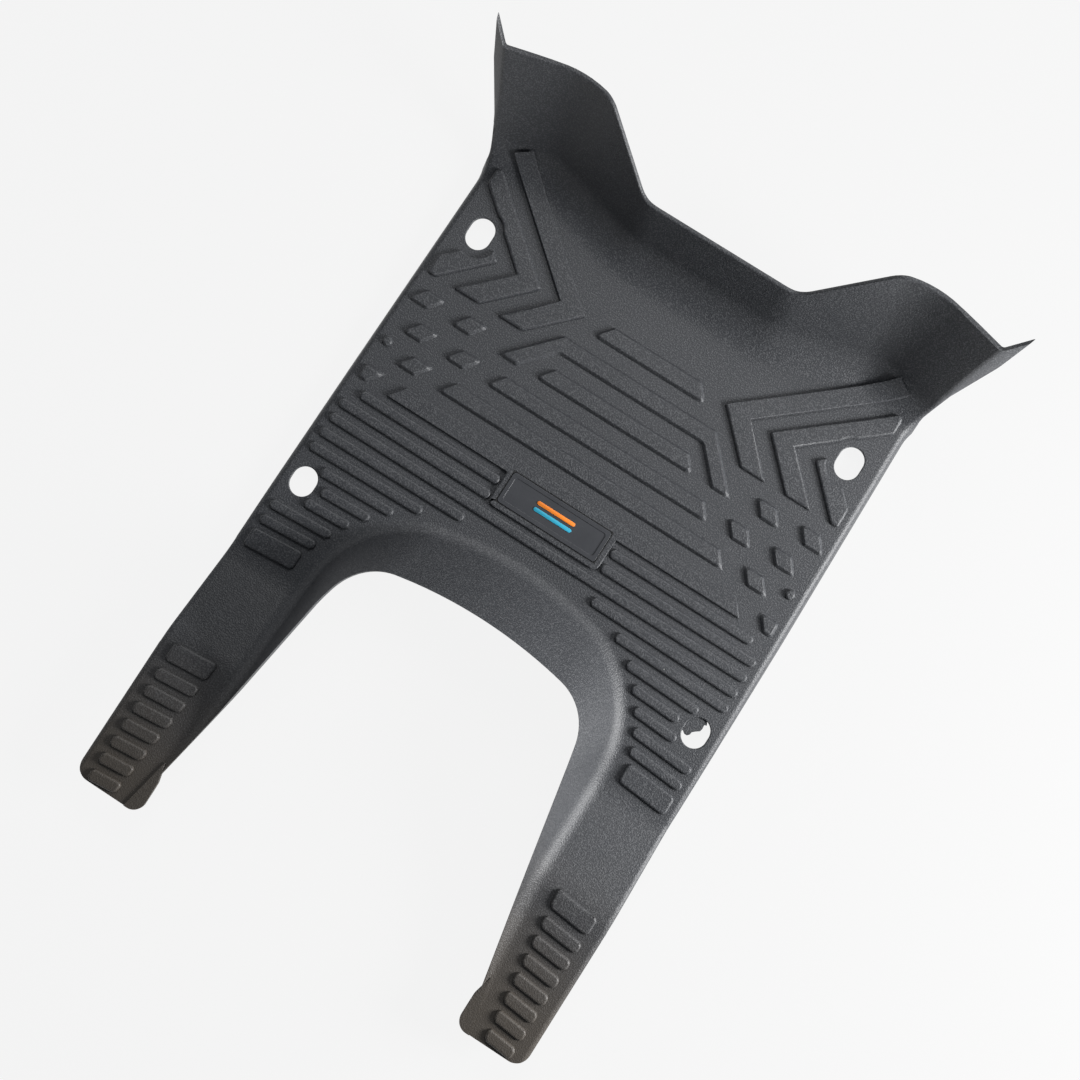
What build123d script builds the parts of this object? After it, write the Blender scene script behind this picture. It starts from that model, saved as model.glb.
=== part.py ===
from build123d import *
import math
import os

os.makedirs("parts", exist_ok=True)

# Sheet, tread and lip heights
SHEET = 3.0
RIB_HEIGHT = 3.0
LIP_DEPTH = 10.0

# Datum: midway between the front slots, on top of the floor
DATUM_Y = 198.74
DATUM = Plane(origin=(0, DATUM_Y, LIP_DEPTH))
PROFILE = Plane(origin=DATUM.origin, x_dir=(0, 1, 0), z_dir=(1, 0, 0))
ELEVATION = Plane(origin=DATUM.origin, x_dir=(-1, 0, 0), z_dir=(0, 1, 0))

# Side lips: half widths on top of the floor, at two stations
SIDE_DRAFT = 17.0
SIDE_ROUND = 6.0
FRONT_HALF = 194.0
FRONT_STATION = 20.0
REAR_HALF = 200.0
LIP_BEND_LENGTH = 20.0

# Rear legs, which a bare ramp lifts above the floor
RAMP_START = -313.0
RAMP_END = -388.0
LEG_RISE = 20.0
RAMP_RADIUS = 60.0
LEG_END = -514.5
LEG_CORNER = 12.0

# Front wall: its foot on the floor, then its top edge seen from behind
WALL_LEAN = 24.0
WALL_FOOT_RADIUS = 36.0
CENTRE_FOOT = (66.0, 48.0)
LOBE_FOOT = (146.0, 71.0)
CORNER_FOOT = (195.0, 59.0)
CENTRE_BEND_RADIUS = 80.0
LOBE_BEND_RADIUS = 40.0
DIP_HALF = 68.0
DIP_TOP = 54.0
LOBE_START = 120.0
LOBE_END = 208.0
LOBE_TOP = 98.0
TIP_HALF = 220.0
TIP_TOP = 110.0
TOP_EDGE_RADIUS = 20.0

# Fins, where the side lip turns outward and climbs the wall
FIN_TURN = 60.0
FLARE_RADIUS = 40.0
FIN_EDGE = [(200.0, 40.0), (197.0, 57.0), (203.0, 76.0), (215.3, 99.0), (220.8, 117.0)]
FIN_EDGE_RADIUS = 14.0

# Flange round the rear cut-out: its foot, then the cut-out seen from above
FLANGE_FOOT_RADIUS = 16.0
APEX_FOOT = -207.0
APEX_LEAN = 36.0
APEX_DROP = 25.0
LEG_FLANGE_LEAN = 20.0
LEG_FLANGE_FRONT = (131.0, -300.0)
LEG_FLANGE_REAR = (148.4, -508.0)
FLANGE_CORNER = 85.0
CUT_APEX = -252.4
CUT_SHOULDER = (99.5, -266.5)
CUT_CORNER = 42.0
CUT_NECK = (141.5, -473.0)

# Ears: small level tabs at the leg ends, on the inner side
EAR_RISE = 1.5
EAR_HALF = 141.0
EAR_LENGTH = 44.0
EAR_TAPER = 16.0
EAR_ROOT = 4.0
EAR_RADIUS = 10.0

# Fixing slots
SLOT_WIDTH = 20.3
FRONT_SLOT = (169.3, -0.3)
FRONT_SLOT_LENGTH = 26.6
REAR_SLOT = (179.3, -238.4)
REAR_SLOT_LENGTH = 24.4
FRONT_SLOT_MARGIN = 6.5

# Tread: the field it fills and its wide rows
FIELD_MARGIN = 7.5
ROW_COUNT = 6
ROW_FRONT = -6.9
ROW_PITCH = 26.5
ROW_PITCH_RATIO = 0.978
ROW_WIDTH = 15.3
ROW_WIDTH_RATIO = 0.98
ROW_SLANT = 0.8
SHORT_ROW_HALF = 40.2
LONG_ROW_HALF = 61.6
ROW_STEP = 29.5
BENT_ROW_HALF = 69.8
BENT_ARM_ANGLE = 43.0
BENT_ARM_INSET = 4.8

# Diamonds beside the wide rows
DIAMOND_GAP = 19.8
DIAMOND_PITCH = 39.4
DIAMOND_WIDTH = 19.6
DIAMOND_COLUMNS = 3
DOT_PLACE = (184.0, -110.9)
DOT_RADIUS = 4.0

# Chevrons beside the first rows
CHEVRON_APEX = (64.2, -12.4)
CHEVRON_STEP = 40.5
CHEVRON_WIDTH = 22.9
CHEVRON_REACHES = [165.0, 181.0, 155.0]
CHEVRON_TIP_SKEW = 14.0
UPPER_ARM_ANGLE = 40.0
LOWER_ARM_DROP = 35.8

# Thin ribs, their inner ends on an arc round the cut-out, and the pads that close them off
RIB_COUNT = 10
RIB_START = -156.8
RIB_PITCH = 13.45
RIB_WIDTH = 8.4
RIB_FAN = 0.6
FAN_START = 2
FAN_PIVOT = 172.0
FIRST_RIB_END = 179.0
FLOOR_PAD = (-286.2, -303.0)
LEG_PAD = (-390.5, -406.2)
LEG_RIB_COUNT = 7
LEG_RIB_START = -412.0
LEG_RIB_PITCH = 15.0
LEG_RIB_WIDTH = 10.0
LEG_RIB_SLANT = 5.2
LEG_FIELD_FRONT = (150.6, -380.0)
LEG_FIELD_REAR = (164.5, -514.0)
LEG_FIELD_HALF = 189.0
RIB_ARC_RADIUS = 131.3
APEX_MARGIN = 15.5
LEG_MARGIN = 20.3
RIB_END_CUT = 2.6
REAR_SLOT_CLEAR = 16.0

# Badge frame and the plate glued into it
BADGE_CENTRE = -157.4
BADGE_LENGTH = 89.8
BADGE_WIDTH = 27.4
FRAME_BORDER = 4.9
FRAME_CORNER = 3.0
FRAME_MARGIN = 0.8
PLATE_CLEARANCE = 0.3
PLATE_THICKNESS = 2.4
PLATE_BORDER = 3.6
PLATE_BORDER_HEIGHT = 0.5
PLATE_CORNER = 2.0

# Reach of the working solids, well outside the part
FAR = 620.0
WIDE = 340.0
BELOW = 30.0
CURTAIN_BASE = 22.0
ABOVE = 135.0
CURTAIN_FRONT = 300.0
FRONT_LIMIT = 150.0
RIB_ROOT = 1.0
RIB_REACH = 45.0
SKIN_TOUCH = 0.001


def tangent(angle):
    return math.tan(math.radians(angle))


def cosine(angle):
    return math.cos(math.radians(angle))


def mirrored(points):
    """Points of the right side, up, then the same points of the left side, down."""
    return points + [(-x, y) for x, y in reversed(points)]


def side_half(y):
    """Half width of the floor at a station, on its top."""
    slope = (REAR_HALF - FRONT_HALF) / (RAMP_START - FRONT_STATION)
    return FRONT_HALF + slope * (y - FRONT_STATION)


def leg_flange_half(y):
    """Half width of the cut-out's flange at a station, on top of the floor."""
    slope = (LEG_FLANGE_REAR[0] - LEG_FLANGE_FRONT[0]) / (LEG_FLANGE_REAR[1] - LEG_FLANGE_FRONT[1])
    return LEG_FLANGE_FRONT[0] + slope * (y - LEG_FLANGE_FRONT[1])


def cut_half(y):
    """Half width of the cut-out at a station beside the legs."""
    slope = (CUT_NECK[0] - CUT_SHOULDER[0]) / (CUT_NECK[1] - CUT_SHOULDER[1])
    return CUT_NECK[0] + slope * (y - CUT_NECK[1])


def shared_edges(solid, first, second):
    """Edges of the solid that lie on the skins of both others, away from their far ends."""
    reach = FAR - BELOW
    near = solid.edges().filter_by_position(Axis.X, BELOW - WIDE, WIDE - BELOW)
    near = near.filter_by_position(Axis.Y, -reach + DATUM_Y, reach + DATUM_Y)
    near = near.filter_by_position(Axis.Z, -BELOW, ABOVE - BELOW)
    skins = [first.shell(), second.shell()]
    return [
        edge
        for edge in near
        if all(skin.distance_to(edge @ 0.5) < SKIN_TOUCH for skin in skins)
    ]


def ground(depth):
    """Everything under the floor, ramp and legs, sunk by depth."""
    ramp_angle = math.degrees(math.atan2(LEG_RISE, RAMP_START - RAMP_END))
    shift = depth * tangent(ramp_angle / 2)
    with BuildPart() as solid:
        with BuildSketch(PROFILE) as section:
            with BuildLine():
                Polyline(
                    (FAR, -depth),
                    (RAMP_START - shift, -depth),
                    (RAMP_END - shift, LEG_RISE - depth),
                    (-FAR, LEG_RISE - depth),
                    (-FAR, -BELOW),
                    (FAR, -BELOW),
                    close=True,
                )
            make_face()
            low = section.vertices().sort_by_distance((RAMP_START, 0))[0]
            fillet(low, RAMP_RADIUS + depth)
            high = section.vertices().sort_by_distance((RAMP_END, LEG_RISE))[0]
            fillet(high, RAMP_RADIUS - depth)
        extrude(amount=WIDE + BELOW, both=True)
    return solid.part


def front_block(depth):
    """Everything in front of the wall, sunk by depth."""
    retreat = depth * (1 - math.sin(math.radians(WALL_LEAN))) / cosine(WALL_LEAN)
    slope = (CORNER_FOOT[1] - LOBE_FOOT[1]) / (CORNER_FOOT[0] - LOBE_FOOT[0])
    side_foot = (WIDE, CORNER_FOOT[1] + slope * (WIDE - CORNER_FOOT[0]))
    with BuildPart() as solid:
        with BuildSketch(DATUM.offset(-depth)) as plan:
            with BuildLine():
                Polyline(*mirrored([CENTRE_FOOT, LOBE_FOOT, side_foot, (WIDE, FAR)]), close=True)
            make_face()
            offset(amount=-retreat, kind=Kind.INTERSECTION, mode=Mode.REPLACE)
            for foot, radius in ((CENTRE_FOOT, -CENTRE_BEND_RADIUS), (LOBE_FOOT, LOBE_BEND_RADIUS)):
                for side in (-1, 1):
                    bend = plan.vertices().sort_by_distance((side * foot[0], foot[1]))[0]
                    fillet(bend, abs(radius + retreat))
        extrude(amount=ABOVE + depth, taper=WALL_LEAN)
    return solid.part


def flange_plan(apex, leg_shift, corner):
    """The area inside the cut-out's flange at one level."""
    shoulder = leg_flange_half(apex - APEX_DROP) + leg_shift
    tail = leg_flange_half(-FAR) + leg_shift
    with BuildSketch() as plan:
        with BuildLine():
            crown = ThreePointArc((shoulder, apex - APEX_DROP), (0, apex), (-shoulder, apex - APEX_DROP))
            Polyline(crown @ 1, (-tail, -FAR), (tail, -FAR), crown @ 0)
        make_face()
        ends = plan.vertices().filter_by_position(Axis.Y, apex - 2 * APEX_DROP, apex)
        fillet(ends, corner)
    return plan.sketch


def mound(depth):
    """Everything under the flange round the cut-out, sunk by depth."""
    mean_slope = (tangent(APEX_LEAN) + tangent(LEG_FLANGE_LEAN)) / 2
    with BuildPart() as solid:
        for level in (-BELOW, ABOVE - BELOW):
            apex = APEX_FOOT - level * tangent(APEX_LEAN) - depth / cosine(APEX_LEAN)
            leg_shift = -level * tangent(LEG_FLANGE_LEAN) - depth / cosine(LEG_FLANGE_LEAN)
            corner = FLANGE_CORNER - level * mean_slope - depth
            with BuildSketch(DATUM.offset(level)):
                add(flange_plan(apex, leg_shift, corner))
        loft(ruled=True)
    return solid.part


def curtain(depth):
    """Everything inside the side lips and fins, sunk by depth."""
    spread = CURTAIN_BASE * tangent(SIDE_DRAFT) - depth / cosine(SIDE_DRAFT)
    leg_half = REAR_HALF + LEG_RISE * tangent(SIDE_DRAFT)
    flare = (side_half(CORNER_FOOT[1]), CORNER_FOOT[1])
    fin_end = (WIDE, CORNER_FOOT[1] + (WIDE - CORNER_FOOT[0]) / tangent(FIN_TURN))
    ramp = [(leg_half, RAMP_END), (REAR_HALF, RAMP_START)]
    with BuildPart() as solid:
        with BuildSketch(DATUM.offset(-CURTAIN_BASE)) as plan:
            with BuildLine():
                right = [(leg_half, -FAR - BELOW), *ramp, flare, fin_end, (WIDE, CURTAIN_FRONT)]
                Polyline(*mirrored(right), close=True)
            make_face()
            offset(amount=spread, kind=Kind.INTERSECTION, mode=Mode.REPLACE)
            ramp_turn = math.atan2(leg_half - REAR_HALF, RAMP_START - RAMP_END)
            side_turn = math.atan2(REAR_HALF - FRONT_HALF, FRONT_STATION - RAMP_START)
            radii = [LIP_BEND_LENGTH / abs(turn) for turn in (ramp_turn, ramp_turn - side_turn)]
            radii.append(FLARE_RADIUS - spread)
            for place, radius in zip([*ramp, flare], radii):
                for side in (-1, 1):
                    bend = plan.vertices().sort_by_distance((side * place[0], place[1]))[0]
                    fillet(bend, radius)
        extrude(amount=CURTAIN_BASE + ABOVE, taper=SIDE_DRAFT)
    return solid.part


def land(depth):
    """Floor, legs, wall and flange as one solid with hollow feet, sunk by depth."""
    floor = ground(depth)
    block = front_block(depth)
    island = mound(depth)
    with BuildPart() as solid:
        add(floor)
        add(block)
        fillet(shared_edges(solid, floor, block), WALL_FOOT_RADIUS + depth)
        add(island)
        fillet(shared_edges(solid, floor, island), FLANGE_FOOT_RADIUS + depth)
    return solid.part


def body(depth):
    """The land inside the curtain, its outer edge rounded, sunk by depth."""
    top = land(depth)
    sides = curtain(depth)
    with BuildPart() as solid:
        add(top)
        add(sides, mode=Mode.INTERSECT)
        fillet(shared_edges(solid, top, sides), SIDE_ROUND - depth)
    return solid.part


def row_front(index):
    """Station of a wide row's front edge."""
    return ROW_FRONT - sum(ROW_PITCH * ROW_PITCH_RATIO**k for k in range(index))


def row_width(index):
    return ROW_WIDTH * ROW_WIDTH_RATIO**index


def row_half(index):
    """Half length of a straight wide row's front edge."""
    return SHORT_ROW_HALF if index == 0 else LONG_ROW_HALF + ROW_STEP * (index - 2)


def slanted(front, width, start, end):
    """One block of a wide row: its outer end, and its inner end unless on the middle, slant out."""
    lean = ROW_SLANT * width
    inner = start + lean if start else 0
    Polygon((start, front), (end, front), (end + lean, front - width), (inner, front - width), align=None)


def bent_row(front, width, tail):
    """The wide row whose arms turn rearward."""
    outer_run = (front - tail) * tangent(BENT_ARM_ANGLE)
    inner_half = BENT_ROW_HALF - BENT_ARM_INSET
    inner_run = (front - width - tail) * tangent(BENT_ARM_ANGLE)
    Polygon(
        (0, front),
        (BENT_ROW_HALF, front),
        (BENT_ROW_HALF + outer_run, tail),
        (inner_half + inner_run, tail),
        (inner_half, front - width),
        (0, front - width),
        align=None,
    )


def chevron(index, reach):
    """One chevron: its apex points inward, its upper arm runs forward to reach."""
    x, y = CHEVRON_APEX[0] + CHEVRON_STEP * index, CHEVRON_APEX[1]
    tip = reach + CHEVRON_TIP_SKEW
    rise = tangent(UPPER_ARM_ANGLE)
    Polygon(
        (x, y),
        (x + LOWER_ARM_DROP, y - LOWER_ARM_DROP),
        (x + LOWER_ARM_DROP + CHEVRON_WIDTH, y - LOWER_ARM_DROP),
        (x + CHEVRON_WIDTH, y),
        (tip, y + (tip - x - CHEVRON_WIDTH) * rise),
        (reach, y + (reach - x) * rise),
        align=None,
    )


def thin_bar(front, width, inner, outer, slant):
    """A thin rib, its station given at the fan's pivot, its outer end further back."""
    ends = [(x, front - (x - FAN_PIVOT) * tangent(slant)) for x in (inner, outer)]
    Polygon(*ends, *[(x, y - width) for x, y in reversed(ends)], align=None)


def rib_inner_end(station):
    """Where a thin rib starts: at the middle, at the badge frame or on the arc round the cut-out."""
    drop = station - (APEX_FOOT + APEX_MARGIN - RIB_ARC_RADIUS)
    if abs(station - BADGE_CENTRE) < BADGE_WIDTH / 2:
        return BADGE_LENGTH / 2 + FRAME_BORDER + FRAME_MARGIN
    if drop > RIB_ARC_RADIUS:
        return 0
    return LEG_FLANGE_FRONT[0] + LEG_MARGIN - RIB_ARC_RADIUS + math.sqrt(RIB_ARC_RADIUS**2 - drop**2)


def rib_outer_end(station):
    """Where a thin rib stops: at the field's side or clear of the rear slot."""
    drop = station - REAR_SLOT[1]
    if abs(drop) < REAR_SLOT_CLEAR:
        return REAR_SLOT[0] - math.sqrt(REAR_SLOT_CLEAR**2 - drop**2)
    return side_half(station) - FIELD_MARGIN


def thin_ribs():
    """The right side's thin ribs and pad, with cut corners."""
    with BuildSketch() as pattern:
        for rib in range(RIB_COUNT):
            station = RIB_START - RIB_PITCH * rib
            outer = FIRST_RIB_END if rib == 0 else rib_outer_end(station)
            slant = RIB_FAN * max(0, rib - FAN_START)
            thin_bar(station + RIB_WIDTH / 2, RIB_WIDTH, rib_inner_end(station), outer, slant)
        station = sum(FLOOR_PAD) / 2
        slant = RIB_FAN * (RIB_COUNT - FAN_START)
        width = FLOOR_PAD[0] - FLOOR_PAD[1]
        thin_bar(FLOOR_PAD[0], width, rib_inner_end(station), rib_outer_end(station), slant)
        chamfer(pattern.vertices().filter_by_position(Axis.X, RIB_WIDTH, WIDE), RIB_END_CUT)
    return pattern.sketch


def leg_tread():
    """The right leg's pad and ribs, with cut corners."""
    field = [LEG_FIELD_FRONT, LEG_FIELD_REAR]
    far_side = [(LEG_FIELD_HALF, y) for x, y in reversed(field)]
    with BuildSketch() as pattern:
        thin_bar(LEG_PAD[0], LEG_PAD[0] - LEG_PAD[1], 0, WIDE, LEG_RIB_SLANT)
        for rib in range(LEG_RIB_COUNT):
            thin_bar(LEG_RIB_START - LEG_RIB_PITCH * rib, LEG_RIB_WIDTH, 0, WIDE, LEG_RIB_SLANT)
        Polygon(*field, *far_side, align=None, mode=Mode.INTERSECT)
        chamfer(pattern.vertices(), RIB_END_CUT)
    return pattern.sketch


def front_tread():
    """The right side's wide rows, diamonds and chevrons."""
    with BuildSketch() as pattern:
        for row in range(ROW_COUNT):
            if row == 1:
                bent_row(row_front(1), row_width(1), row_front(2) - row_width(2))
            else:
                slanted(row_front(row), row_width(row), 0, row_half(row))
        for row in range(2, ROW_COUNT):
            for column in range(1 if row == 2 else 0, DIAMOND_COLUMNS):
                start = row_half(row) + DIAMOND_GAP + DIAMOND_PITCH * column
                if start + DIAMOND_WIDTH / 2 < side_half(row_front(row)) - FIELD_MARGIN:
                    slanted(row_front(row), row_width(row), start, start + DIAMOND_WIDTH)
        for index, reach in enumerate(CHEVRON_REACHES):
            chevron(index, reach)
        with Locations(FRONT_SLOT):
            clear = 2 * FRONT_SLOT_MARGIN
            SlotOverall(FRONT_SLOT_LENGTH + clear, SLOT_WIDTH + clear, rotation=90, mode=Mode.SUBTRACT)
        field = [(side_half(y) - FIELD_MARGIN, y) for y in (BADGE_CENTRE, 2 * CORNER_FOOT[1])]
        Polygon((0, field[0][1]), *field, (0, field[1][1]), align=None, mode=Mode.INTERSECT)
        with Locations(DOT_PLACE):
            Circle(DOT_RADIUS)
    return pattern.sketch


# The raised tread and badge frame, mirrored from the right side and cut to the raised skin
raised = land(-RIB_HEIGHT)
with BuildPart() as tread:
    with BuildSketch(DATUM.offset(-RIB_ROOT)):
        add(front_tread())
        add(thin_ribs())
        add(leg_tread())
        mirror(about=Plane.YZ)
        with Locations((0, BADGE_CENTRE)):
            border = 2 * FRAME_BORDER
            RectangleRounded(BADGE_LENGTH + border, BADGE_WIDTH + border, FRAME_CORNER + FRAME_BORDER / 2)
    extrude(amount=RIB_REACH)
    add(raised, mode=Mode.INTERSECT)

# The mat: the sheet between two skins, with the tread and badge frame on it, trimmed
outer_body = body(0)
inner_body = body(SHEET)
underside = ground(LIP_DEPTH)
with BuildPart() as floor_mat:
    add(outer_body)
    add(tread.part)
    with BuildSketch(DATUM):
        with Locations((0, BADGE_CENTRE)):
            RectangleRounded(BADGE_LENGTH, BADGE_WIDTH, FRAME_CORNER)
    extrude(amount=RIB_REACH, mode=Mode.SUBTRACT)
    add(inner_body, mode=Mode.SUBTRACT)
    add(underside, mode=Mode.SUBTRACT)

    # Top edge of the wall
    with BuildSketch(ELEVATION) as top_edge:
        with BuildLine():
            edge = [
                (DIP_HALF, DIP_TOP),
                (LOBE_START, LOBE_TOP),
                (LOBE_END, LOBE_TOP),
                (TIP_HALF, TIP_TOP),
                (WIDE, TIP_TOP),
                (WIDE, 2 * ABOVE),
            ]
            Polyline(*mirrored(edge), close=True)
        make_face()
        for corner in edge[:2]:
            for side in (-1, 1):
                fillet(top_edge.vertices().sort_by_distance((side * corner[0], corner[1]))[0], TOP_EDGE_RADIUS)
    extrude(amount=FAR, mode=Mode.SUBTRACT)

    # Outline seen from above: leg ends and fin edges
    with BuildSketch(DATUM.offset(-BELOW)) as plan:
        with BuildLine():
            outline = [(FIN_EDGE[0][0], LEG_END), *FIN_EDGE, (FIN_EDGE[-1][0], FRONT_LIMIT)]
            Polyline(*mirrored(outline), close=True)
        make_face()
        fillet(plan.vertices().group_by(Axis.Y)[0], LEG_CORNER)
        for bend in FIN_EDGE[1:3]:
            for side in (-1, 1):
                fillet(plan.vertices().sort_by_distance((side * bend[0], bend[1]))[0], FIN_EDGE_RADIUS)
    extrude(amount=2 * ABOVE, mode=Mode.INTERSECT)

    # Cut-out between the legs
    with BuildSketch(DATUM.offset(-BELOW)) as cutout:
        with BuildLine():
            crown = ThreePointArc(CUT_SHOULDER, (0, CUT_APEX), (-CUT_SHOULDER[0], CUT_SHOULDER[1]))
            Polyline(crown @ 0, (cut_half(-FAR), -FAR), (-cut_half(-FAR), -FAR), crown @ 1)
        make_face()
        fillet(cutout.vertices().group_by(Axis.Y)[-1], CUT_CORNER)
    extrude(amount=2 * ABOVE, mode=Mode.SUBTRACT)

    # Ears
    with BuildSketch(DATUM.offset(LEG_RISE + EAR_RISE - SHEET)) as ears:
        front = LEG_END + EAR_LENGTH
        Polygon(
            (EAR_HALF, LEG_END),
            (cut_half(LEG_END) + EAR_ROOT, LEG_END),
            (cut_half(front) + EAR_ROOT, front),
            (EAR_HALF, front - EAR_TAPER),
            align=None,
        )
        fillet(ears.vertices().group_by(Axis.X)[0], EAR_RADIUS)
        mirror(about=Plane.YZ)
    extrude(amount=SHEET)

    # Fixing slots
    with BuildSketch(DATUM.offset(-BELOW)):
        for place, length in ((FRONT_SLOT, FRONT_SLOT_LENGTH), (REAR_SLOT, REAR_SLOT_LENGTH)):
            with Locations(place):
                SlotOverall(length, SLOT_WIDTH, rotation=90)
        mirror(about=Plane.YZ)
    extrude(amount=2 * BELOW, mode=Mode.SUBTRACT)
floor_mat.part.label = "floor_mat"
export_step(floor_mat.part, "parts/floor_mat.step")

# The plate: a thin panel with a raised border, seated on the frame's floor
with BuildPart() as badge_plate:
    with BuildSketch(DATUM):
        with Locations((0, BADGE_CENTRE)):
            length = BADGE_LENGTH - 2 * PLATE_CLEARANCE
            width = BADGE_WIDTH - 2 * PLATE_CLEARANCE
            RectangleRounded(length, width, FRAME_CORNER - PLATE_CLEARANCE)
    extrude(amount=PLATE_THICKNESS + PLATE_BORDER_HEIGHT)
    with BuildSketch(DATUM.offset(PLATE_THICKNESS)):
        with Locations((0, BADGE_CENTRE)):
            border = 2 * PLATE_BORDER
            RectangleRounded(length - border, width - border, PLATE_CORNER)
    extrude(amount=PLATE_BORDER_HEIGHT, mode=Mode.SUBTRACT)
badge_plate.part.label = "badge_plate"
export_step(badge_plate.part, "parts/badge_plate.step")
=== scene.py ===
# %% [markdown]
# A rubber floor mat for a scooter's footwell, seen from above in a soft studio.
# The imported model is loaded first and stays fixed: every piece below is made in its frame, in metres.
# The box of the bare model is kept, because the dressed mat has to stay inside it.

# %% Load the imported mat
import math

import bmesh
import bpy
from mathutils import Matrix, Vector


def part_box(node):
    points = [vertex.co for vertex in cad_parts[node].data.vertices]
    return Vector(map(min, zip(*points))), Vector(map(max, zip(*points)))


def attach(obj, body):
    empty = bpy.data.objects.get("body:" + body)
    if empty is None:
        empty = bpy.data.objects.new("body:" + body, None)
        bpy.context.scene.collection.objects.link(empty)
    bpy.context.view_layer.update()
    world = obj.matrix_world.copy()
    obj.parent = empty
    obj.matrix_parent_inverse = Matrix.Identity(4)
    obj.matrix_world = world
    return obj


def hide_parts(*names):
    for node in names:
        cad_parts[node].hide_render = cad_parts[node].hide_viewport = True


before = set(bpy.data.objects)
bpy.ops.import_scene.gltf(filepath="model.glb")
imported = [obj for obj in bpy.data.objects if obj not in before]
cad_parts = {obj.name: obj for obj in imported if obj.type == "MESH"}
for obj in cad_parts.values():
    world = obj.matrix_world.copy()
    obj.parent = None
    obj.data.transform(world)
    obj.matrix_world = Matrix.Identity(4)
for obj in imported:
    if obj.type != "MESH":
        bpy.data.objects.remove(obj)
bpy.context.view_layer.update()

mat_low, mat_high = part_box("floor_mat")
plate_low, plate_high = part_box("badge_plate")
print("mat box", tuple(round(side, 4) for side in mat_high - mat_low))

# %% [markdown]
# The mat is one moulding: rubber is pressed into a tool and comes out with tread, wall, fins and legs at
# once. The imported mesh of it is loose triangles, as any CAD export is. Rounding needs whole faces, and
# edges that know both of their sides, so the work is done on a copy whose points are merged and whose
# flat triangles are joined. The mat could be modelled anew, but then it would drift away from the packed
# one.

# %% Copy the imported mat
MERGE_DISTANCE = 2e-6
FLAT_ANGLE = 0.4


def merged_copy(node):
    """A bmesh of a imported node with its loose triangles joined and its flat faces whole."""
    shape = bmesh.new()
    shape.from_mesh(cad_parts[node].data)
    bmesh.ops.remove_doubles(shape, verts=shape.verts, dist=MERGE_DISTANCE)
    flat = math.radians(FLAT_ANGLE)
    bmesh.ops.dissolve_limit(shape, angle_limit=flat, verts=shape.verts, edges=shape.edges)
    return shape


mat_shape = merged_copy("floor_mat")
mat_shape.normal_update()
print("whole faces of the mat", len(mat_shape.faces))

# %% [markdown]
# The tread is what the rider stands on: ribs about 3 mm high that keep a shoe from sliding.
# Their edges are to be softened, so the script has to know which faces are ribs. Lists of face numbers
# would do until the next pack. A rule on shape lasts: the side of a rib is a low upright face
# that meets the floor in an inward corner.

# %% Find the sides of the ribs
TREAD_HEIGHT = 0.0034
UPRIGHT = 0.1
FOOT_ANGLE = 50


def inward(edge, angle):
    """True where two faces meet in a corner that turns inwards by more than an angle, in degrees."""
    return edge.is_manifold and not edge.is_convex and edge.calc_face_angle() > math.radians(angle)


def is_rib_side(face):
    """True for a low upright face that stands on the floor."""
    heights = [v.co.z for v in face.verts]
    upright = abs(face.normal.z) < UPRIGHT and max(heights) - min(heights) < 2 * TREAD_HEIGHT
    return upright and any(inward(e, FOOT_ANGLE) for e in face.edges)


rib_sides = {f for f in mat_shape.faces if is_rib_side(f)}
print("sides of ribs", len(rib_sides))

# %% [markdown]
# The top of each rib ends in an outline of edges that turn outwards, and these are the edges to soften.
# They are picked one by one and then walked from neighbour to neighbour, so that each rib becomes one
# chain. The wall stands higher than any rib, and the edges right at the plate are its recess, so neither
# is picked.

# %% Find the outlines of the rib tops
TURN_OUT = 25
TOP_LEVEL = 0.8
WALL_START = 0.070
PLATE_EDGE = 0.001
FEWEST_EDGES = 3


def outward_edges(shape, angle):
    """Edges where two faces turn outwards by more than an angle, in degrees."""
    limit = math.radians(angle)
    return [e for e in shape.edges if e.is_manifold and e.is_convex and e.calc_face_angle() > limit]


def middle(edge):
    """The point half way along an edge."""
    return (edge.verts[0].co + edge.verts[1].co) / 2


def round_plate(edge, margin):
    """True within a margin of the plate."""
    low, high, spot = plate_low, plate_high, middle(edge)
    return low.x - margin < spot.x < high.x + margin and low.y - margin < spot.y < high.y + margin


def is_rib_top_edge(edge):
    """True for an edge between the top of a rib and its side."""
    sided = any(f in rib_sides for f in edge.link_faces)
    topped = any(f.normal.z > TOP_LEVEL for f in edge.link_faces)
    return sided and topped and middle(edge).z < WALL_START and not round_plate(edge, PLATE_EDGE)


def chains(edges):
    """Edges sorted into connected outlines."""
    left, found = dict.fromkeys(edges), []
    while left:
        chain = [next(iter(left))]
        del left[chain[0]]
        for edge in chain:
            for near in (n for v in edge.verts for n in v.link_edges if n in left):
                del left[near]
                chain.append(near)
        found.append(chain)
    return found


outward = outward_edges(mat_shape, TURN_OUT)
rib_chains = chains(e for e in outward if is_rib_top_edge(e))
outlines = [o for o in rib_chains if len(o) >= FEWEST_EDGES]
print("ribs", len(outlines))

# %% [markdown]
# The mat has three kinds of rib. Rows and diamonds have straight sides, sharp turns and one flat top:
# they are whole. Chevrons turn as sharply, but they climb the foot of the wall or are notched by a slot.
# Bars have ends that are round already. One more chain runs round the plate and belongs to its frame.
# Each kind is softened in its own way, so the chains are sorted before anything is changed.

# %% Sort the ribs
SHARP_TURN = 55
MOST_CORNERS = 8
FRAME_MARGIN = 0.009
FRAME_EDGES = 8
SLOT_REACH = 0.018
SLOT_PLACES = ((0.1693, 0.1984), (0.1793, -0.0397))
SLOT_CENTRES = [Vector((side * x, y)) for side in (-1, 1) for x, y in SLOT_PLACES]


def tops_of(outline):
    """The top faces along an outline."""
    return {f for e in outline for f in e.link_faces if f not in rib_sides}


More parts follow.
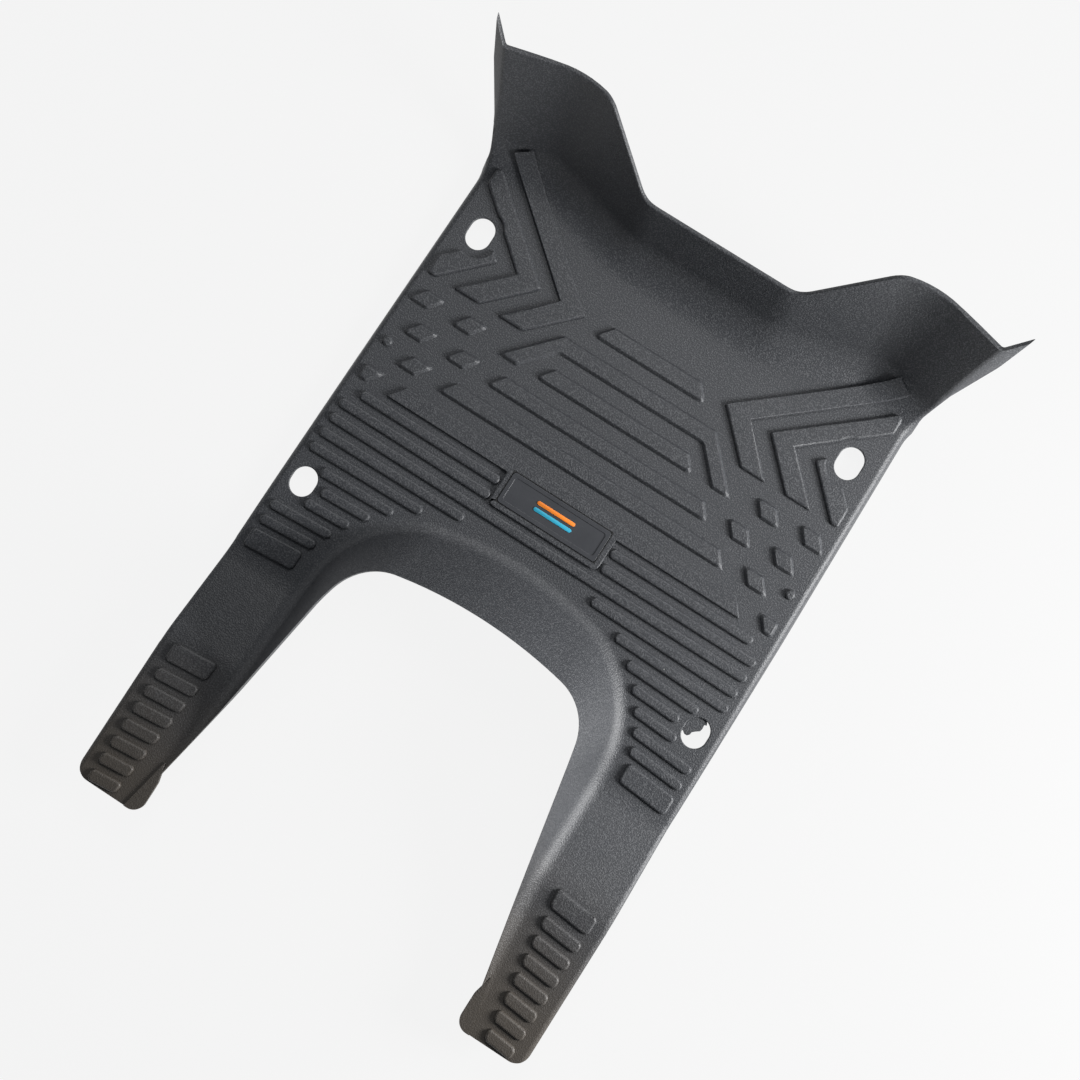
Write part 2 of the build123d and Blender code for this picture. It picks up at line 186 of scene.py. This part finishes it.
def has_sharp_turn(outline):
    """True where two edges of an outline meet in a strong turn."""
    limit = math.radians(SHARP_TURN)
    for point in {v for e in outline for v in e.verts}:
        ends = [e.other_vert(point).co for e in point.link_edges if e in outline]
        if len(ends) == 2 and (ends[0] - point.co).angle(point.co - ends[1]) > limit:
            return True
    return False


def is_framed(outline):
    """True for the chain that runs round the plate."""
    return sum(round_plate(e, FRAME_MARGIN) for e in outline) > FRAME_EDGES


def is_whole(outline):
    """True for few corners and an outline that goes all round one flat top."""
    return len(outline) <= MOST_CORNERS and all(len(t.verts) == len(outline) for t in tops_of(outline))


def is_rib_corner(edge):
    """True for an upright corner of a rib, away from the slots and the plate's frame."""
    ribbed = all(f in rib_sides for f in edge.link_faces) and edge.calc_length() < TREAD_HEIGHT
    at_slot = any((middle(edge).xy - centre).length < SLOT_REACH for centre in SLOT_CENTRES)
    return ribbed and not at_slot and not round_plate(edge, FRAME_MARGIN)


framed = [o for o in outlines if is_framed(o)]
sharp = [o for o in outlines if o not in framed and has_sharp_turn(o)]
whole = [o for o in sharp if is_whole(o)]
frame_edges = [e for o in framed for e in o]
round_edges = [e for o in outlines if o not in sharp and o not in framed for e in o]
bent_edges = [e for o in sharp if o not in whole for e in o]
bent_points = {v for e in bent_edges for v in e.verts}
bent_edges += [e for e in outward if is_rib_corner(e) and any(v in bent_points for v in e.verts)]
print("framed", len(framed), "sharp", len(sharp), "of these whole", len(whole))

# %% [markdown]
# A rib with straight sides is cut into the tool with a conical mill: its sides slope, and its corners are
# round. A bevel gives the slope but leaves every corner of the top sharp, so these ribs get rings of
# their own. For a ring, the outline is moved inwards, and each corner becomes a curve between its two
# straight edges. A quadratic curve with the old corner as its handle is the simplest one that leaves and
# meets them smoothly.

# %% Rings with round corners
CORNER_RADIUS = 0.0040
SMALLEST_RADIUS = 0.0008
CORNER_STEPS = 6
CORNER_SHARE = 0.45


def flat_turn(first, second):
    """Above 0 where a second direction in the plan turns to the left of a first one."""
    return first.x * second.y - first.y * second.x


def directions(points):
    """The direction of each edge of an outline."""
    return [(after - before).normalized() for before, after in zip(points, points[1:] + points[:1])]


def moved_in(points, inset):
    """An outline moved inwards, corner by corner."""
    ways, moved = directions(points), []
    for i, point in enumerate(points):
        before, after = ways[i - 1], ways[i]
        inner_before = point + inset * Vector((-before.y, before.x))
        inner_after = point + inset * Vector((-after.y, after.x))
        reach = flat_turn(inner_after - inner_before, after) / flat_turn(before, after)
        moved.append(inner_before + before * reach)
    return moved


def ring_corners(points, inset):
    """The round corners of an outline that is moved inwards; a list of points for each corner."""
    ways, moved, corners = directions(points), moved_in(points, inset), []
    shares = [step / CORNER_STEPS for step in range(CORNER_STEPS + 1)]
    for i, tip in enumerate(moved):
        before, after = ways[i - 1], ways[i]
        room = min((tip - moved[i - 1]).length, (moved[(i + 1) % len(moved)] - tip).length)
        inwards = inset if flat_turn(before, after) > 0 else -inset
        radius = max(CORNER_RADIUS - inwards, SMALLEST_RADIUS)
        length = min(radius * math.tan(before.angle(after) / 2), CORNER_SHARE * room)
        start, end = tip - before * length, tip + after * length
        corners.append([start * (1 - u) ** 2 + tip * 2 * u * (1 - u) + end * u * u for u in shares])
    return corners


print("points of a round corner", CORNER_STEPS + 1)

# %% [markdown]
# The old top and sides of a rib come off, and a ring on the floor takes their place, joined to the old
# feet. Its face is inset three times, and each new ring is put where the slope ends, on the shoulder and
# on the top. Standing on the old feet leaves the floor round the rib as it was, so that the mat stays one
# closed skin. A narrow rib has no room for the full slope: its rings are drawn in to a share of its half
# width.

# %% Build the straight-sided ribs
RINGS = ((0.0016, 0.0008), (0.0021, 0.0003), (0.0027, 0.0))
FOOT_INSET = 0.0001
WIDEST_INSET = 0.50


def foot_chain(loop):
    """The points at the foot of the side below one edge of a top."""
    step, chain = loop.link_loop_radial_next.link_loop_next.link_loop_next, []
    while step.vert != loop.link_loop_next.vert:
        chain.append(step.vert)
        step = step.link_loop_next
    return chain


def join_feet(shape, feet, ring):
    """Faces between the feet of a rib and the ring that lies inside them."""
    for i, chain in enumerate(feet):
        corner, following = ring[i], ring[(i + 1) % len(feet)]
        shape.faces.new([*chain, following[0], corner[-1]])
        for near, far in zip(corner, corner[1:]):
            shape.faces.new([chain[0], far, near])


def build_rib(shape, top):
    """Swaps a rib's top and sides for inset rings that stand on the same feet."""
    feet = [foot_chain(loop) for loop in top.loops]
    points = [loop.vert.co.xy for loop in top.loops]
    level, normal = top.verts[0].co.copy(), top.normal.copy()
    height = level.z - feet[0][0].co.z
    half_width = 2 * top.calc_area() / top.calc_perimeter()
    scale = min(1.0, WIDEST_INSET * half_width / RINGS[-1][0])

    def place(point, drop):
        """A point of the plan, at a depth below the plane of the top."""
        return Vector((*point, level.z - normal.xy.dot(point - level.xy) / normal.z - drop))

    old = [top] + [loop.link_loop_radial_next.face for loop in top.loops]
    bmesh.ops.delete(shape, geom=old, context="FACES")
    foot_corners = ring_corners(points, FOOT_INSET)
    foot_ring = [[shape.verts.new(place(p, height)) for p in corner] for corner in foot_corners]
    join_feet(shape, feet, foot_ring)
    face = shape.faces.new([v for corner in foot_ring for v in corner])
    face.normal_update()
    for inset, drop in RINGS:
        bmesh.ops.inset_individual(shape, faces=[face], thickness=FOOT_INSET)
        ring = [point for corner in ring_corners(points, inset * scale) for point in corner]
        for loop, point in zip(face.loops, ring):
            loop.vert.co = place(point, drop)


whole_tops = [top for outline in whole for top in tops_of(outline)]
for top in whole_tops:
    build_rib(mat_shape, top)
print("ribs built", len(whole_tops))

# %% [markdown]
# Bars, chevrons and the plate's frame have plain round upper edges, which a bevel of three segments gives.
# The upright corners of the chevrons go into the same bevel as their tops: rounded in a bevel of their own,
# they would leave tops that the next bevel tears. The frame is narrow, so its rounds are smaller.

# %% Round the other ribs
TREAD_ROUND = 0.0021
FRAME_ROUND = 0.0012


def rounded(shape, edges, radius, segments=3):
    """Bevels edges to a round and returns the faces of the round."""
    made = bmesh.ops.bevel(
        shape, geom=edges, offset=radius, offset_type="OFFSET", segments=segments, profile=0.5,
        affect="EDGES", material=-1, clamp_overlap=False, loop_slide=True,
    )
    return made["faces"]


tread_round = rounded(mat_shape, round_edges + bent_edges, TREAD_ROUND)
frame_round = rounded(mat_shape, frame_edges, FRAME_ROUND)
print("faces of the rounds on ribs", len(tread_round), "on the frame", len(frame_round))

# %% [markdown]
# The rims are the edges of wall, fins, flange, legs and slots, which the edge of the tool leaves slightly
# round. A finish could fake that with a bevelled normal, but real rounds catch light along the outline
# and are part of the mesh. Fin tips and ear ends are too thin for a round, and the edges that
# lie on the floor or close to it stay as they are.

# %% Round the rims
RIM_ANGLE = 42
RIM_ROUND = 0.0008
RIM_FOOT = 0.003
SHORTEST = 0.0006
FIN_TIP = Vector((0.204, 0.290, 0.100))
EAR_END = Vector((0.120, -0.300))


def near_thin_end(edge):
    """True at the fin tips and the ear corners, which are too thin to be rounded."""
    places = [Vector((abs(v.co.x), v.co.y, v.co.z)) for v in edge.verts]
    fin = any(p.x > FIN_TIP.x and p.y > FIN_TIP.y and p.z > FIN_TIP.z for p in places)
    ear = any(p.x > EAR_END.x and p.y < EAR_END.y for p in places)
    return fin or ear


def is_rim(edge):
    """True for an edge that is long, high and thick enough for a round."""
    high = min(v.co.z for v in edge.verts) > RIM_FOOT
    return high and edge.calc_length() > SHORTEST and not near_thin_end(edge)


rim_edges = [e for e in outward_edges(mat_shape, RIM_ANGLE) if is_rim(e)]
rim_round = rounded(mat_shape, rim_edges, RIM_ROUND, segments=2)
print("rim edges", len(rim_edges), "faces of their rounds", len(rim_round))

# %% [markdown]
# Smooth shading blends the light over a round, but it also bends it over the large flats beside it.
# Weighted normals let the large faces keep theirs, so that only the rounds are blended,
# and inward corners stay crisp because they are marked sharp. Points that the bevels left on top of
# each other are merged first, since a face without area has no direction to shade.

# %% Shade the mat and hand it to its body
CLEAN_DISTANCE = 1e-5
SHARP_ANGLE = 48
FULL_WEIGHT = 100


def shade(shape):
    """Marks all faces smooth and the strong corners that are left sharp."""
    for face in shape.faces:
        face.smooth = True
    for edge in shape.edges:
        edge.smooth = not edge.is_manifold or edge.calc_face_angle() < math.radians(SHARP_ANGLE)


def piece_from(shape, name, node=None):
    """A finished piece from a bmesh, riding on the mat's one body."""
    mesh = bpy.data.meshes.new(name)
    shape.to_mesh(mesh)
    shape.free()
    piece = bpy.data.objects.new(name, mesh)
    bpy.context.scene.collection.objects.link(piece)
    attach(piece, "root")
    if node:
        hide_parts(node)
    print(name, len(mesh.vertices), "points", len(mesh.polygons), "faces")
    return piece


def weighted(piece):
    """Lets the large faces of a piece keep their normals."""
    finish = piece.modifiers.new("flat_faces_stay_flat", "WEIGHTED_NORMAL")
    finish.keep_sharp = True
    finish.weight = FULL_WEIGHT


bmesh.ops.remove_doubles(mat_shape, verts=mat_shape.verts, dist=CLEAN_DISTANCE)
bmesh.ops.dissolve_degenerate(mat_shape, dist=CLEAN_DISTANCE, edges=mat_shape.edges)
shade(mat_shape)
mat_piece = piece_from(mat_shape, "dressed_floor_mat", "floor_mat")
weighted(mat_piece)

# %% [markdown]
# The plate is a thin separate moulding with a raised border, glued into its recess. Its edges are as
# crisp as a small tool can make them, so the same bevel is used with a much smaller radius.

# %% Round the plate's edges
PLATE_ANGLE = 38
PLATE_ROUND = 0.0004
plate_shape = merged_copy("badge_plate")
rounded(plate_shape, outward_edges(plate_shape, PLATE_ANGLE), PLATE_ROUND)
shade(plate_shape)
plate_piece = piece_from(plate_shape, "dressed_badge_plate", "badge_plate")
weighted(plate_piece)

# %% [markdown]
# The plate carries two plain stripes, pressed in coloured rubber. Each is a thin bar with round ends.
# A painted stripe would be a mask in the plate's finish. These stand proud of the panel and catch light
# on their edges, so each is a cube that is stretched, rounded at its ends and then along its top.

# %% Stripes on the plate
STRIPE = Vector((0.034, 0.0032, 0.0007))
STRIPE_GAP = 0.0056
STRIPE_SUNK = 0.2
PANEL_DEPTH = 0.0005
END_SHARE = 0.49
END_SEGMENTS = 6
CREST_ANGLE = 60
CREST_SHARE = 0.3


def stripe(name, across):
    """A bar with round ends that lies on the plate's panel."""
    shape = bmesh.new()
    bmesh.ops.create_cube(shape, size=1.0, matrix=Matrix.Diagonal((*STRIPE, 1.0)))
    ends = [e for e in shape.edges if abs(e.verts[0].co.z - e.verts[1].co.z) > STRIPE.z / 2]
    rounded(shape, ends, STRIPE.y * END_SHARE, segments=END_SEGMENTS)
    crest = [e for e in outward_edges(shape, CREST_ANGLE) if all(v.co.z > 0 for v in e.verts)]
    rounded(shape, crest, STRIPE.z * CREST_SHARE, segments=2)
    centre = (plate_low + plate_high) / 2
    centre.y += across
    centre.z = plate_high.z - PANEL_DEPTH + STRIPE.z * STRIPE_SUNK
    bmesh.ops.translate(shape, verts=shape.verts, vec=centre)
    shade(shape)
    return piece_from(shape, name)


orange_stripe = stripe("badge_stripe_orange", STRIPE_GAP / 2)
blue_stripe = stripe("badge_stripe_blue", -STRIPE_GAP / 2)

# %% [markdown]
# One slot was not trimmed clean: a thin web of flash, left where the tool's halves met, closes half of
# it. It could be cut from a disc with a noisy knife. Drawing its one flat outline, in millimetres from
# the slot's middle, gives more control: ragged towards the opening, round along the slot's wall, and then
# made thick.

# %% Flash in a slot
FLASH_CENTRE = Vector((0.1793, -0.0397, 0.0072))
FLASH_THICKNESS = 0.0008
MILLIMETRES = 1000
TORN_EDGE = [
    (-9.43, -3.43), (-6.87, -5.22), (-4.62, -5.21), (-2.98, -3.33), (-2.71, -1.14), (-0.54, 0.84),
    (2.22, 2.84), (2.80, 5.46), (2.36, 8.38), (4.29, 9.27),
]
SLOT_RADIUS = 10.2
SLOT_STRAIGHT = 2.05
WALL_FROM = 65
WALL_SWEEP = 135
WALL_STEPS = 18
wall_side = []
for step in range(1, WALL_STEPS):
    angle = math.radians(WALL_FROM + WALL_SWEEP * step / WALL_STEPS)
    shift = math.copysign(SLOT_STRAIGHT, math.sin(angle))
    wall_side.append((SLOT_RADIUS * math.cos(angle), SLOT_RADIUS * math.sin(angle) + shift))
flash_shape = bmesh.new()
flash_places = [FLASH_CENTRE + Vector((x, y, 0.0)) / MILLIMETRES for x, y in TORN_EDGE + wall_side]
web = flash_shape.faces.new([flash_shape.verts.new(place) for place in flash_places])
lifted = bmesh.ops.extrude_face_region(flash_shape, geom=[web])["geom"]
lifted_points = [item for item in lifted if isinstance(item, bmesh.types.BMVert)]
bmesh.ops.translate(flash_shape, verts=lifted_points, vec=(0, 0, FLASH_THICKNESS))
bmesh.ops.recalc_face_normals(flash_shape, faces=flash_shape.faces)
flash_piece = piece_from(flash_shape, "slot_flash")

# %% [markdown]
# A finish is a small network of shader nodes. It could be wired up node by node, but then the sum it
# stands for is hard to see. Here a Wire stands for an output socket, and each operator between wires adds
# one Math node, so that a mask reads as it would on paper.

# %% Sums on sockets
class Wire:
    """An output socket that takes part in Python sums."""

    def __init__(self, finish, socket):
        self.finish = finish
        self.socket = socket

    def out(self, name):
        """Another output of the same node."""
        return Wire(self.finish, self.socket.node.outputs[name])

    def sum(self, operation, first, second):
        """One Math node on two values."""
        return self.finish.node("Math", {"operation": operation}, {0: first, 1: second})

    def __add__(self, other):
        return self.sum("ADD", self, other)

    def __radd__(self, other):
        return self.sum("ADD", other, self)

    def __sub__(self, other):
        return self.sum("SUBTRACT", self, other)

    def __rsub__(self, other):
        return self.sum("SUBTRACT", other, self)

    def __mul__(self, other):
        return self.sum("MULTIPLY", self, other)

    def __rmul__(self, other):
        return self.sum("MULTIPLY", other, self)

    def __abs__(self):
        return self.sum("ABSOLUTE", self, 0.0)

    def most(self, other):
        """The larger of two values."""
        return self.sum("MAXIMUM", self, other)


# %% [markdown]
# A Finish holds a material while it is being made. One method adds any node, whatever its type,
# so that no kind of node needs a helper of its own, and one sets or links the sockets of the shader.

# %% A finish under construction
class Finish:
    """A material under construction."""

    def __init__(self, name):
        self.material = bpy.data.materials.new(name)
        self.material.use_nodes = True
        self.tree = self.material.node_tree
        self.shader = self.tree.nodes["Principled BSDF"]

    def put(self, socket, value):
        """Links a wire to a socket, or sets a plain value on it."""
        if isinstance(value, Wire):
            self.tree.links.new(value.socket, socket)
        else:
            socket.default_value = value

    def node(self, kind, settings, sockets, output=0):
        """Adds a shader node of a kind, with its settings and socket values, and returns one output."""
        made = self.tree.nodes.new("ShaderNode" + kind)
        for name, value in settings.items():
            setattr(made, name, value)
        for name, value in sockets.items():
            self.put(made.inputs[name], value)
        return Wire(self, made.outputs[output])

    def surface(self, **values):
        """Sets or links the shader's own sockets; an underscore stands for a space."""
        for name, value in values.items():
            self.put(self.shader.inputs[name.replace("_", " ")], value)

    def give(self, *pieces):
        """Makes this the only material of some pieces."""
        for piece in pieces:
            piece.data.materials.clear()
            piece.data.materials.append(self.material)
            print(self.material.name, "on", piece.name, "with", len(self.tree.nodes), "nodes")


# %% [markdown]
# Grain, dust and haze are all made of the same few things: a noise, a soft step that turns a value into a
# mask, and a colour that is mixed by that mask. A colour has to go through a Mix node, as a Math node
# turns it grey.

# %% Helpers for patterns
MIX_FACTOR, MIX_FIRST, MIX_SECOND, MIX_RESULT = 0, 6, 7, 2


def noise(finish, place, scale, detail=2.0, roughness=0.5):
    """A soft cloud of values; a larger scale makes it finer."""
    sockets = {"Vector": place, "Scale": scale, "Detail": detail, "Roughness": roughness}
    return finish.node("TexNoise", {}, sockets, "Fac")


def between(finish, value, low, high):
    """0 below low, 1 above high, a smooth step between."""
    sockets = {"Value": value, "From Min": low, "From Max": high, "To Min": 0.0, "To Max": 1.0}
    return finish.node("MapRange", {"interpolation_type": "SMOOTHSTEP"}, sockets, "Result")


def mixed(finish, factor, first, second):
    """A colour between two others."""
    sockets = {MIX_FACTOR: factor, MIX_FIRST: first, MIX_SECOND: second}
    return finish.node("Mix", {"data_type": "RGBA"}, sockets, MIX_RESULT)


def bumped(finish, height, strength, distance):
    """A normal that follows a height."""
    sockets = {"Strength": strength, "Distance": distance, "Height": height}
    return finish.node("Bump", {}, sockets, "Normal")


# %% [markdown]
# The mat is satin black rubber. Its tool was spark eroded, which leaves a fine even grain, so the grain
# is in the height, in the colour and in the gloss alike. The leg ends are painted browner, a painted
# reflection of a brown surround, and a few pale specks lie about. The narrow gap round the plate is
# painted nearly black, as painted shade. A picture of rubber would need an unwrapped mesh. Patterns on
# Object coordinates need none and don't repeat.

# %% Patterns of the rubber
GRAIN_SCALE = 900.0
CLOUD_SCALE = 9.0
SPECK_SCALE = 42.0
SPECK_EDGE = (0.010, 0.024)
SPECK_FIELD_SCALE = 23.0
SPECK_FIELD_EDGE = (0.60, 0.64)
BROWN_REFLECTION_EDGE = (0.20, 0.37)
BROWN_REFLECTION_WANDER = 0.10
GAP_SHADE_MIDDLE = 0.0002
GAP_SHADE_EDGE = (0.0004, 0.0010)
rubber = Finish("satin_black_rubber")
where = rubber.node("TexCoord", {}, {}, "Object")
across = rubber.node("SeparateXYZ", {}, {"Vector": where}, "X")
along = across.out("Y")
grain = noise(rubber, where, GRAIN_SCALE, detail=1.0)
cloud = noise(rubber, where, CLOUD_SCALE, detail=4.0, roughness=0.55)
spot = rubber.node("TexVoronoi", {}, {"Vector": where, "Scale": SPECK_SCALE}, "Distance")
speck_field = between(rubber, noise(rubber, where, SPECK_FIELD_SCALE), *SPECK_FIELD_EDGE)
speck = (1.0 - between(rubber, spot, *SPECK_EDGE)) * speck_field
# Painted reflection: the leg ends, towards the rear, are painted browner, as if they reflected a brown
# surround.
painted_brown_reflection = between(rubber, along * -1.0 + cloud * BROWN_REFLECTION_WANDER, *BROWN_REFLECTION_EDGE)
plate_middle = (plate_low + plate_high) / 2
plate_half = (plate_high - plate_low) / 2
beside = (abs(across - plate_middle.x) - plate_half.x).most(abs(along - plate_middle.y) - plate_half.y)
# Painted shade: a thin band along the plate's outline, where the gap round the plate falls into shadow.
painted_gap_shade = 1.0 - between(rubber, abs(beside - GAP_SHADE_MIDDLE), *GAP_SHADE_EDGE)
print("nodes of the patterns", len(rubber.tree.nodes))

# %% [markdown]
# The colours go on in this order: rubber, worn grain tips, a painted brown reflection on the legs,
# painted shade in the gap, and specks last. Real rubber is never one black, so two tones share the
# ground by the cloud.

# %% Rubber finish
RUBBER_DARK = (0.028, 0.030, 0.034, 1.0)
RUBBER_PALE = (0.044, 0.046, 0.051, 1.0)
GRAIN_TIP = (0.115, 0.118, 0.124, 1.0)
# Painted brown reflection for the leg ends.
BROWN_REFLECTION = (0.070, 0.058, 0.045, 1.0)
# Painted shade for the narrow gap round the plate.
GAP_SHADE_COLOUR = (0.004, 0.004, 0.004, 1.0)
SPECK = (0.42, 0.42, 0.40, 1.0)
TIP_EDGE = (0.44, 0.70)
TIP_SHARE = 0.6
BROWN_REFLECTION_SHARE = 0.8
GAP_SHADE_SHARE = 0.9
SPECK_SHARE = 0.8
RUBBER_ROUGHNESS = 0.40
ROUGHNESS_CHANGE = 0.10
rubber_colour = mixed(rubber, cloud, RUBBER_DARK, RUBBER_PALE)
grain_tip = between(rubber, grain, *TIP_EDGE)
rubber_colour = mixed(rubber, grain_tip * TIP_SHARE, rubber_colour, GRAIN_TIP)
# Painted brown reflection on the leg ends, mixed in along Y.
rubber_colour = mixed(rubber, painted_brown_reflection * BROWN_REFLECTION_SHARE, rubber_colour, BROWN_REFLECTION)
# Painted shade in the gap round the plate.
rubber_colour = mixed(rubber, painted_gap_shade * GAP_SHADE_SHARE, rubber_colour, GAP_SHADE_COLOUR)
rubber_colour = mixed(rubber, speck * SPECK_SHARE, rubber_colour, SPECK)
rubber_roughness = RUBBER_ROUGHNESS + cloud * ROUGHNESS_CHANGE + grain * ROUGHNESS_CHANGE
grain_bump = bumped(rubber, grain, strength=0.9, distance=0.0004)
rubber.surface(Base_Color=rubber_colour, Roughness=rubber_roughness, Normal=grain_bump)
rubber.give(mat_piece, flash_piece)

# %% [markdown]
# The plate comes from a smoother tool than the mat, so it has the same black with a finer grain and more
# gloss. A light haze keeps it from looking like polished metal.

# %% Plate finish
HAZE_SCALE = 60.0
PLATE_GRAIN_SCALE = 1500.0
PLATE_ROUGHNESS = 0.36
PLATE_DARK = (0.036, 0.038, 0.043, 1.0)
PLATE_PALE = (0.050, 0.052, 0.058, 1.0)
plate_finish = Finish("smooth_black_plate")
where = plate_finish.node("TexCoord", {}, {}, "Object")
haze = noise(plate_finish, where, HAZE_SCALE, detail=3.0)
plate_grain = noise(plate_finish, where, PLATE_GRAIN_SCALE)
plate_colour = mixed(plate_finish, haze, PLATE_DARK, PLATE_PALE)
plate_bump = bumped(plate_finish, plate_grain, strength=0.3, distance=0.0002)
plate_roughness = PLATE_ROUGHNESS + haze * ROUGHNESS_CHANGE
plate_finish.surface(Base_Color=plate_colour, Roughness=plate_roughness, Normal=plate_bump)
plate_finish.give(plate_piece)

# %% [markdown]
# The stripes are rubber that was coloured through before it was pressed. Shoes rub it paler in places,
# so each finish has a full colour and a worn one, mixed by a noise. One function makes both.

# %% Stripe finishes
RUB_SCALE = 260.0
STRIPE_ROUGHNESS = 0.38
RUB_CHANGE = 0.15
ORANGE, WORN_ORANGE = (0.80, 0.19, 0.012, 1.0), (0.90, 0.27, 0.030, 1.0)
BLUE, WORN_BLUE = (0.020, 0.30, 0.46, 1.0), (0.040, 0.40, 0.56, 1.0)


def stripe_finish(name, colour, worn):
    """Coloured rubber, a little paler where it was rubbed."""
    finish = Finish(name)
    place = finish.node("TexCoord", {}, {}, "Object")
    rub = noise(finish, place, RUB_SCALE, detail=3.0)
    rubbed = mixed(finish, rub, colour, worn)
    finish.surface(Base_Color=rubbed, Roughness=STRIPE_ROUGHNESS + rub * RUB_CHANGE)
    return finish


stripe_finish("orange_rubber", ORANGE, WORN_ORANGE).give(orange_stripe)
stripe_finish("blue_rubber", BLUE, WORN_BLUE).give(blue_stripe)

# %% [markdown]
# The studio is a pale floor with a backdrop far away all round it, so that every view ends in one pale
# tone. A bright world would give that too, but it would light the mat from all sides.
# The floor lies a hair below the mat, because two faces in one plane would flicker.

# %% Floor and backdrop
FLOOR_HALF = 40.0
FLOOR_DROP = 0.0004
BACKDROP_RADIUS = 39.0
BACKDROP_HEIGHT = 17.0
BACKDROP_SEGMENTS = 96


def stage_piece(name, shape, height):
    """A piece of the studio, which is no part of the mat."""
    bmesh.ops.translate(shape, verts=shape.verts, vec=(0, 0, height))
    mesh = bpy.data.meshes.new(name)
    shape.to_mesh(mesh)
    shape.free()
    piece = bpy.data.objects.new(name, mesh)
    bpy.context.scene.collection.objects.link(piece)
    print(name, len(mesh.polygons), "faces")
    return piece


floor_shape = bmesh.new()
bmesh.ops.create_grid(floor_shape, x_segments=1, y_segments=1, size=FLOOR_HALF)
floor = stage_piece("studio_floor", floor_shape, -FLOOR_DROP)
backdrop_shape = bmesh.new()
bmesh.ops.create_cone(
    backdrop_shape, cap_ends=False, segments=BACKDROP_SEGMENTS,
    radius1=BACKDROP_RADIUS, radius2=BACKDROP_RADIUS, depth=BACKDROP_HEIGHT,
)
backdrop = stage_piece("studio_backdrop", backdrop_shape, BACKDROP_HEIGHT / 2 - FLOOR_DROP)

# %% [markdown]
# A floor that is lit to white would throw that light back at the mat. So the paper glows only for rays
# that look at it, from the camera or by way of a reflection, and stays plain paper for the light itself.
# A small share of plain paper is left in the mix, and it carries the mat's soft shadow.

# %% Paper of the studio
PAPER = (0.86, 0.86, 0.86, 1.0)
PAPER_GLOW = (0.915, 0.915, 0.915, 1.0)
GLOW_SHARE = 0.96
paper = Finish("pale_floor")
paper.surface(Base_Color=PAPER, Roughness=0.9)
path = paper.node("LightPath", {}, {}, "Is Camera Ray")
seen = path + path.out("Is Glossy Ray") + path.out("Is Transmission Ray")
glow = paper.node("Emission", {}, {"Color": PAPER_GLOW, "Strength": 1.0})
plain = Wire(paper, paper.shader.outputs[0])
cover = paper.node("MixShader", {}, {0: seen * GLOW_SHARE, 1: plain, 2: glow})
paper.put(paper.tree.nodes["Material Output"].inputs["Surface"], cover)
paper.give(floor, backdrop)

# %% [markdown]
# Black rubber shows its shape by its sheen. A softbox high in front lays a broad sheen on floor
# and ramps, and a lower key lamp on the right draws the sides of the ribs. A dim, slightly blue surround
# fills the shadows. More lamps would fill them further, and flatten the tread.

# %% Lamps and surround
MAT_MIDDLE = Vector((0, 0, 0))
SURROUND = (0.62, 0.66, 0.72, 1.0)
SURROUND_STRENGTH = 0.20


def soft_lamp(name, place, size, power):
    """A round area lamp that faces the middle of the mat."""
    light = bpy.data.lights.new(name, "AREA")
    light.shape = "DISK"
    light.size = size
    light.energy = power
    lamp = bpy.data.objects.new(name, light)
    lamp.location = place
    lamp.rotation_euler = (MAT_MIDDLE - Vector(place)).to_track_quat("-Z", "Y").to_euler()
    bpy.context.scene.collection.objects.link(lamp)
    print(name, power, "W")


soft_lamp("front_softbox", (-0.20, 1.20, 1.40), size=0.9, power=12.0)
soft_lamp("key_lamp", (1.08, 0.28, 0.48), size=0.5, power=27.0)
world = bpy.data.worlds.new("grey_surround")
bpy.context.scene.world = world
world.use_nodes = True
surround = world.node_tree.nodes["Background"].inputs
surround["Color"].default_value = SURROUND
surround["Strength"].default_value = SURROUND_STRENGTH
bpy.context.scene.view_settings.view_transform = "Standard"

# %% [markdown]
# The camera hangs about a metre over the mat, turned so that the mat lies slanted in the frame. It could
# be aimed at a target, but its place and its three axes were found by matching straight edges of the mat,
# so they are written as they are.

# %% Camera
SENSOR = 36.0
FOCAL_LENGTH = 45.13
CAMERA_PLACE = (0.06438, -0.03672, 1.04884)
CAMERA_RIGHT = (0.84209, 0.53888, -0.02229)
CAMERA_UP = (-0.53582, 0.84059, 0.07946)
CAMERA_BACK = (0.06156, -0.05496, 0.99659)
lens = bpy.data.cameras.new("photo_camera")
lens.sensor_width = SENSOR
lens.lens = FOCAL_LENGTH
camera = bpy.data.objects.new("photo_camera", lens)
axes = Matrix((CAMERA_RIGHT, CAMERA_UP, CAMERA_BACK)).transposed().to_4x4()
camera.matrix_world = Matrix.Translation(CAMERA_PLACE) @ axes
bpy.context.scene.collection.objects.link(camera)
bpy.context.scene.camera = camera
print("camera height", CAMERA_PLACE[2])
